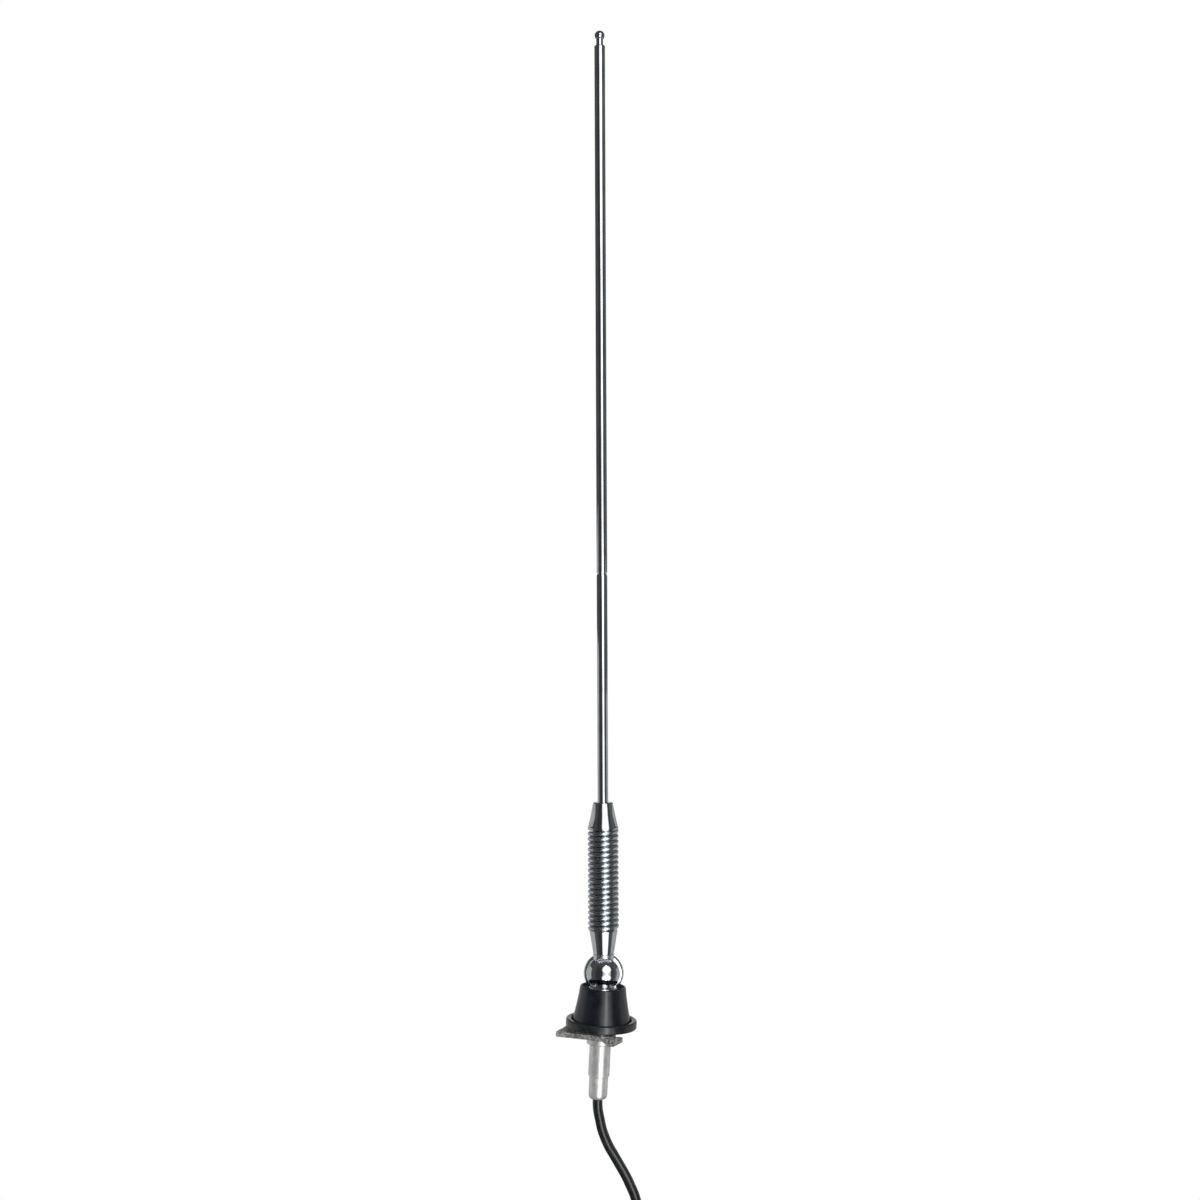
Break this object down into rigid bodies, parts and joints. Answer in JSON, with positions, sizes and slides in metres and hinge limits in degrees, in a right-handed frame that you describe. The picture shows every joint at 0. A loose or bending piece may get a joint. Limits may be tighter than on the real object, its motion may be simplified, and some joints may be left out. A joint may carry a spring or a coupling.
{
  "type": "vehicle whip antenna",
  "caption": "Telescopic chrome whip antenna with a spring base, a tilting swivel, a rubber boot, a panel claw and a cable with its plug.",
  "frame": {"origin": "on the shank's axis, in the plane of the gasket's underside, where the outer face of the panel lies", "axes": "+Z away from the panel, along the base; the swivel turns about Y; the claw's long arm points to -X"},
  "size_m": [0.0589, 0.0356, 0.7224],
  "materials": {
    "chrome": "polished chrome plate",
    "mast_steel": "polished stainless steel",
    "spring_chrome": "chrome-plated spring wire",
    "zinc": "satin zinc plate",
    "steel": "bright steel",
    "cast_claw": "rough cast, matt grey",
    "boot_rubber": "satin moulded rubber",
    "gasket_rubber": "soft rubber, slightly glossy",
    "nylon": "natural nylon",
    "brass": "plain brass",
    "braid": "tinned copper braid",
    "cable_jacket": "smooth black PVC jacket",
    "strap": "black hook-and-loop strap",
    "plug_plastic": "black moulded plastic",
    "plug_metal": "bright nickel plate"
  },
  "bodies": {
    "pad": {"gasket": "gasket_rubber", "boot": "boot_rubber", "clamp_washer": "steel"},
    "nut": {"clamp_nut": "zinc"},
    "base": {"shank": "zinc", "upper_insulator": "nylon", "base_knuckle": "chrome", "swivel_screw": "steel", "swivel_washer": "steel", "feed_rod": "brass", "lower_insulator": "nylon", "crimp_ferrule": "zinc", "coax_end": "cable_jacket", "claw": "cast_claw", "claw_retainer": "zinc", "cable": "cable_jacket", "cable_hank": "cable_jacket", "cable_tail": "cable_jacket", "hank_tie": "strap", "plug_grip": "plug_plastic", "plug_barrel": "plug_metal", "plug_insulator": "nylon", "plug_pin": "plug_metal"},
    "swivel": {"rear_knuckle": "chrome", "lower_ferrule": "chrome"},
    "spring": {"spring": "spring_chrome", "spring_braid": "braid"},
    "mast": {"upper_ferrule": "chrome", "mast_outer": "chrome"},
    "middle": {"mast_middle": "mast_steel", "middle_shoe": "brass"},
    "inner": {"mast_inner": "mast_steel", "inner_shoe": "brass", "tip_button": "chrome"}
  },
  "joints": [
    {"name": "nut_turn", "type": "hinge", "parent": "pad", "child": "nut", "pos_m": [0, 0, 0.0095], "axis": [0, 0, -1], "range_deg": [0, 720]},
    {"name": "clamp_travel", "type": "slide", "parent": "pad", "child": "base", "axis": [0, 0, 1], "range_m": [0, 0.002]},
    {"name": "swivel_tilt", "type": "hinge", "parent": "base", "child": "swivel", "pos_m": [0, 0, 0.0265], "axis": [0, 1, 0], "range_deg": [-87, 93]},
    {"name": "spring_bend_side", "type": "hinge", "parent": "swivel", "child": "spring", "pos_m": [-0.00181, 0, 0.06095], "axis": [0, 1, 0], "range_deg": [-35, 35], "stiffness_Nm_per_rad": 2, "deforming": ["spring", "spring_braid"]},
    {"name": "spring_bend_fore", "type": "hinge", "parent": "spring", "child": "mast", "pos_m": [-0.00311, 0, 0.08592], "axis": [0.9986, 0, 0.0523], "range_deg": [-35, 35], "stiffness_Nm_per_rad": 2, "deforming": ["spring", "spring_braid"]},
    {"name": "middle_slide", "type": "slide", "parent": "mast", "child": "middle", "axis": [-0.0523, 0, 0.9986], "range_m": [0, 0.24]},
    {"name": "inner_slide", "type": "slide", "parent": "middle", "child": "inner", "axis": [-0.0523, 0, 0.9986], "range_m": [0, 0.225]}
  ],
  "couplings": [
    {"joint": "nut_turn", "follows": "clamp_travel", "rad_per_m": 6283.2}
  ]
}
